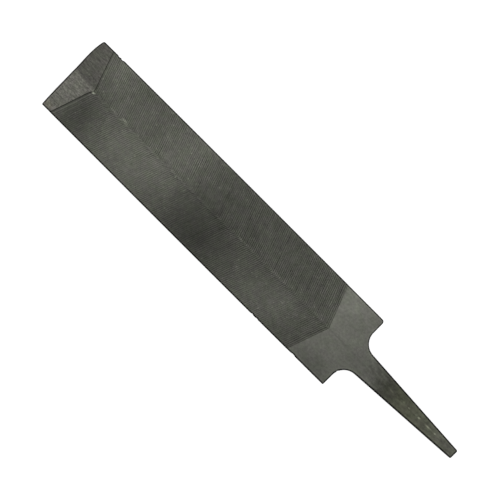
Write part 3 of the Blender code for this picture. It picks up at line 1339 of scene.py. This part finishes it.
        # Painted highlights on the tang's ridge, then painted shade on the rounded edge
        body = graph.rimmed(self.rubbed(graph, body, on_tang, across))
        rough = graph.mapped(clouds, 0.3, 0.7, self.roughness - 0.05, self.roughness + 0.06)
        return graph.finished(body, self.metallic, rough, streaks, 0.02 * MM)


# -----------------------------------------------------------------------------
# The studio
# -----------------------------------------------------------------------------


@dataclass(frozen=True)
class SoftLight:
    """A broad, soft lamp that looks at the file.

    Attributes:
        name: The lamp's name.
        place: Where it stands.
        size: Its width.
        power: Its power in watts.
    """

    name: str
    place: tuple[float, float, float]
    size: float = 2.0
    power: float = 11.0

    def build(self) -> bpy.types.Object:
        """Makes the lamp and turns it to the origin."""
        lamp = bpy.data.lights.new(self.name, "AREA")
        lamp.shape = "SQUARE"
        lamp.size = self.size
        lamp.energy = self.power
        holder = bpy.data.objects.new(self.name, lamp)
        holder.location = self.place
        holder.rotation_euler = (-Vector(self.place)).to_track_quat("-Z", "Y").to_euler()
        bpy.context.scene.collection.objects.link(holder)
        return holder


@dataclass(frozen=True)
class Studio:
    """The pale floor, the even light of the room, the lamps and the camera.

    Attributes:
        floor_radius: The floor's radius.
        camera_height: The camera's height over the middle plane.
        view_width: The width of what the camera sees at that plane.
        camera_x: Where the camera looks along the file, from the middle of its length.
        camera_y: Where it looks across the file.
        camera_turn: How far the camera is turned about the vertical, in degrees.
        overhead_light: The room's light straight overhead.
        horizon_light: The room's light at the horizon.
        low_light: The light from below, as a share of the horizon's.
    """

    floor_radius: float = 4.0
    camera_height: float = 1.3
    view_width: float = 188.9 * MM
    camera_x: float = -6.95 * MM
    camera_y: float = -0.15 * MM
    camera_turn: float = 44.966
    overhead_light: float = 0.55
    horizon_light: float = 0.30
    low_light: float = 0.55
    lights: tuple[SoftLight, ...] = (
        SoftLight("left_softbox", (0.6, 2.0, 1.5)),
        SoftLight("right_softbox", (0.6, -2.0, 1.5)),
    )

    def floor(self, height: float) -> bpy.types.Object:
        """Makes the floor, a disc of rings and spokes: each point lies at a radius that grows evenly, on a turn."""
        ring = np.linspace(0.0, self.floor_radius, 9)[1:]
        turn = np.linspace(0.0, math.tau, 65)[:-1]
        x = np.outer(ring, np.cos(turn))
        y = np.outer(ring, np.sin(turn))
        rings = np.stack([x, y, np.full_like(x, height)], axis=-1).reshape(-1, 3)
        points = np.vstack([[[0.0, 0.0, height]], rings])
        index = 1 + np.arange(len(ring) * len(turn)).reshape(len(ring), len(turn))
        wrapped = np.hstack([index, index[:, :1]])
        corners = [wrapped[:-1, :-1], wrapped[1:, :-1], wrapped[1:, 1:], wrapped[:-1, 1:]]
        quads = np.stack(corners, axis=-1).reshape(-1, 4)
        inner = np.stack([np.zeros(len(turn), int), wrapped[0, :-1], wrapped[0, 1:]], axis=-1)
        mesh = bpy.data.meshes.new("studio_floor")
        mesh.from_pydata(points, [], quads.tolist() + inner.tolist())
        mesh.materials.append(self.floor_finish())
        disc = bpy.data.objects.new("studio_floor", mesh)
        disc.visible_glossy = False
        bpy.context.scene.collection.objects.link(disc)
        return disc

    def floor_finish(self) -> bpy.types.Material:
        """Returns the floor's matt white, lit a little from below like a light table."""
        graph = Graph.of_material("light_table")
        graph.shader.inputs["Base Color"].default_value = (0.8, 0.8, 0.8, 1.0)
        graph.shader.inputs["Roughness"].default_value = 1.0
        graph.shader.inputs["Specular IOR Level"].default_value = 0.0
        graph.shader.inputs["Emission Color"].default_value = (1.0, 1.0, 1.0, 1.0)
        graph.shader.inputs["Emission Strength"].default_value = 0.75
        return graph.owner

    def room(self) -> None:
        """Sets the room's light: palest overhead, dim at the horizon, dimmer below, and white where it is seen."""
        world = bpy.data.worlds.new("studio_room")
        bpy.context.scene.world = world
        graph = Graph(world, "Background")
        upward = graph.add("SeparateXYZ", {0: graph.add("TexCoord", {}).outputs["Generated"]}).outputs["Z"]
        above = graph.mapped(upward, 0.0, 0.8, self.horizon_light, self.overhead_light)
        light = graph.mapped(upward, -0.25, 0.0, self.low_light, 1.0)
        light = graph.times(light, above)
        seen = graph.add("LightPath", {}).outputs["Is Camera Ray"]
        graph.feed(graph.shader.inputs["Strength"], graph.worked("MAXIMUM", light, seen))
        graph.shader.inputs["Color"].default_value = (1.0, 1.0, 1.0, 1.0)

    def camera(self, middle_z: float) -> bpy.types.Object:
        """Makes the camera, straight above the file and looking down.

        Args:
            middle_z: Height of the file's middle plane.

        Returns:
            The camera.
        """
        lens = bpy.data.cameras.new("camera")
        lens.sensor_width = 36.0
        lens.lens = lens.sensor_width * self.camera_height / self.view_width
        lens.clip_end = 20.0
        camera = bpy.data.objects.new("camera", lens)
        camera.location = (self.camera_x, self.camera_y, middle_z + self.camera_height)
        camera.rotation_euler = (0.0, 0.0, math.radians(self.camera_turn))
        bpy.context.scene.collection.objects.link(camera)
        bpy.context.scene.camera = camera
        return camera


# -----------------------------------------------------------------------------
# Assembly
# -----------------------------------------------------------------------------


def mount_place(name: str) -> tuple[float, float, float]:
    """Returns the place of one of the record's mounts."""
    return tuple(next(m["pos_m"] for m in frame["record"]["mounts"] if m["name"] == name))


def tang_side(name: str, x: float) -> float:
    """Returns the distance of a tang side from the centre line at a place along the length.

    The side is a straight line through its mount's place, square to the mount's axis.

    Args:
        name: The side's mount.
        x: The place along the length.

    Returns:
        The distance, which is positive on either side.
    """
    mount = next(m for m in frame["record"]["mounts"] if m["name"] == name)
    place, axis = mount["pos_m"], mount["axis"]
    return abs(place[1] - (x - place[0]) * axis[0] / axis[1])


def file_blank() -> Blank:
    """Returns the blank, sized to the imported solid's box and mounts."""
    low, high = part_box(CAD_NODE)
    shoulder_x = mount_place("shoulder_left")[0]
    end_x = mount_place("tang_end")[0]
    bar = Bar(half_width=high[1], ridge_half=(high[2] - low[2]) / 2, edge_half=0.30 * MM)
    left = SideSizes(
        tip_x=low[0] + 0.25 * MM,
        tip_bow=0.45 * MM,
        tip_radius=0.9 * MM,
        shoulder_x=shoulder_x + 0.21 * MM,
        shoulder_radius=1.2 * MM,
        root_fillet=6.1 * MM,
        root_y=tang_side("tang_side_left", shoulder_x) + 0.07 * MM,
        end_y=tang_side("tang_side_left", end_x) + 0.07 * MM,
        edge_roll=0.22 * MM,
        end_roll=0.20 * MM,
        tang_roll=0.34 * MM,
        tip_plain=5.2 * MM,
        heel_plain=19.3 * MM,
        groove=1.25,
        groove_rows=0.25,
        groove_dark=0.30,
        first_shift=0.72 * MM,
        first_rows=(1.0, 1.04),
    )
    right = SideSizes(
        tip_x=low[0] + 0.36 * MM,
        tip_bow=0.10 * MM,
        tip_radius=0.4 * MM,
        shoulder_x=shoulder_x + 0.38 * MM,
        shoulder_radius=0.3 * MM,
        root_fillet=6.0 * MM,
        root_y=tang_side("tang_side_right", shoulder_x) + 0.07 * MM,
        end_y=tang_side("tang_side_right", end_x) + 0.07 * MM,
        edge_roll=0.38 * MM,
        end_roll=0.31 * MM,
        tang_roll=0.48 * MM,
        tip_plain=4.15 * MM,
        heel_plain=18.8 * MM,
        groove=1.35,
        groove_rows=0.5,
        groove_dark=0.55,
        first_shift=-0.36 * MM,
        first_rows=(1.0, 1.26, 1.0, 1.10),
    )
    edge = bar.half_width
    nicks = (
        Nick(Side.LEFT, -93.4 * MM, edge, 0.5 * MM, 0.25 * MM),
        Nick(Side.LEFT, -91.8 * MM, edge, 0.6 * MM, 0.32 * MM),
        Nick(Side.RIGHT, 10.7 * MM, edge, 0.5 * MM, 0.22 * MM),
        Nick(Side.RIGHT, 13.2 * MM, edge, 0.4 * MM, 0.16 * MM),
        Nick(Side.RIGHT, 32.4 * MM, edge, 0.8 * MM, 0.25 * MM),
        Nick(Side.RIGHT, shoulder_x + 0.80 * MM, 9.1 * MM, 0.36 * MM, 0.32 * MM, (-0.95, 0.3)),
    )
    # Painted reflections, lighter and darker: along, across and reaches in mm, then strength
    patches = in_mm(Patch, (
        (-98, -9, 7, 18, 0.14),
        (-89, 14, 8, 7, 0.42),
        (-78, 9, 24, 14, 0.34),
        (-49, 9, 13, 14, 0.54),
        (-43, 14, 6, 5, 0.14),
        (-89, -9, 8, 12, -0.40),
        (-63, -9, 21, 12, 0.62),
        (-28, -10, 17, 14, -0.43),
        (17, -5, 6, 5, 0.19),
        (12, -11, 18, 10, 0.25),
        (35, 14, 10, 14, 0.32),
        (23, -14, 8, 11, -0.22),
        (42, -17, 12, 9, -0.34),
        (56, -1, 8, 5, -0.15),
        (-60, 4.5, 9, 5, -0.09),
        (4, -4.5, 8, 4, -0.08),
        (78, 2, 6, 3, -0.18),
        (101, 0, 6, 5, -0.12),
    ))
    worn = in_mm(Patch, (
        (11, -9, 18, 8, -0.62),
        (-14, -9, 10, 7, -0.20),
        (-54, 6, 7, 5, -0.20),
    ))
    blade = Blade(bar, Teeth(), low[0] + 0.05 * MM, shoulder_x)
    return Blank(
        bar=bar,
        blade=blade,
        tang=Tang(shoulder_x, end_x + 0.10 * MM),
        sides={Side.LEFT: left, Side.RIGHT: right},
        nicks=nicks,
        patches=patches,
        worn=worn,
        middle_z=(low[2] + high[2]) / 2,
    )


def main() -> None:
    """Builds the studio and the file, in order."""
    logging.basicConfig(level=logging.INFO, format="%(name)s: %(message)s")
    low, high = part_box(CAD_NODE)
    studio = Studio()
    studio.camera((low[2] + high[2]) / 2)
    studio.room()
    studio.floor(low[2] - FLOOR_GAP)
    for light in studio.lights:
        light.build()
    bpy.context.scene.view_settings.view_transform = "Standard"

    piece = file_blank().build()
    piece.data.materials.append(GroundSteel().material())
    piece.data.materials.append(CutSteel().material())
    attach(piece, "root")
    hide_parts(CAD_NODE)
    LOG.info("%s: %d faces", piece.name, len(piece.data.polygons))


if __name__ == "__main__":
    main()
